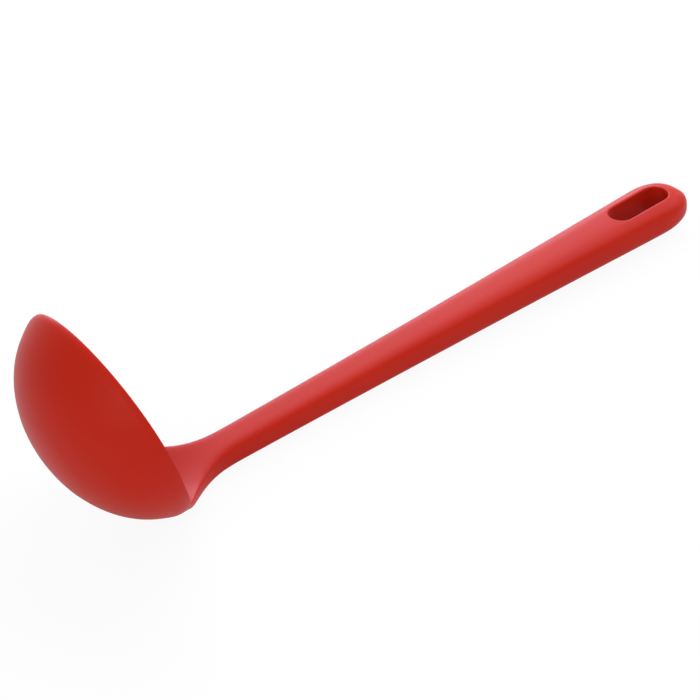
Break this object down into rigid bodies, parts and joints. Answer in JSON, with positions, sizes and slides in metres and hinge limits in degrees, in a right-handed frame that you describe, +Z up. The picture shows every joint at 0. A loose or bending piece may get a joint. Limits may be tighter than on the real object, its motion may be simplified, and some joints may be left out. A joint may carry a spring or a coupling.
{
  "type": "soup ladle",
  "caption": "Moulded silicone soup ladle with a deep round bowl, a flared web and a long tapering handle with a hanging slot.",
  "frame": {"origin": "below the middle of the whole length, in the ladle's plane of symmetry, on the plane that the handle's straight back lies on", "axes": "+Y along the handle towards its hanging end, +Z up, out of the handle's front, +X across the bowl"},
  "size_m": [0.089, 0.3182, 0.0903],
  "materials": {
    "red_silicone": "moulded, matte with a soft sheen",
    "core_nylon": "moulded, matte",
    "stiffener_steel": "rolled strip with cut ends"
  },
  "bodies": {
    "root": {"silicone_skin": "red_silicone", "nylon_core": "core_nylon", "steel_stiffener": "stiffener_steel"}
  },
  "joints": []
}
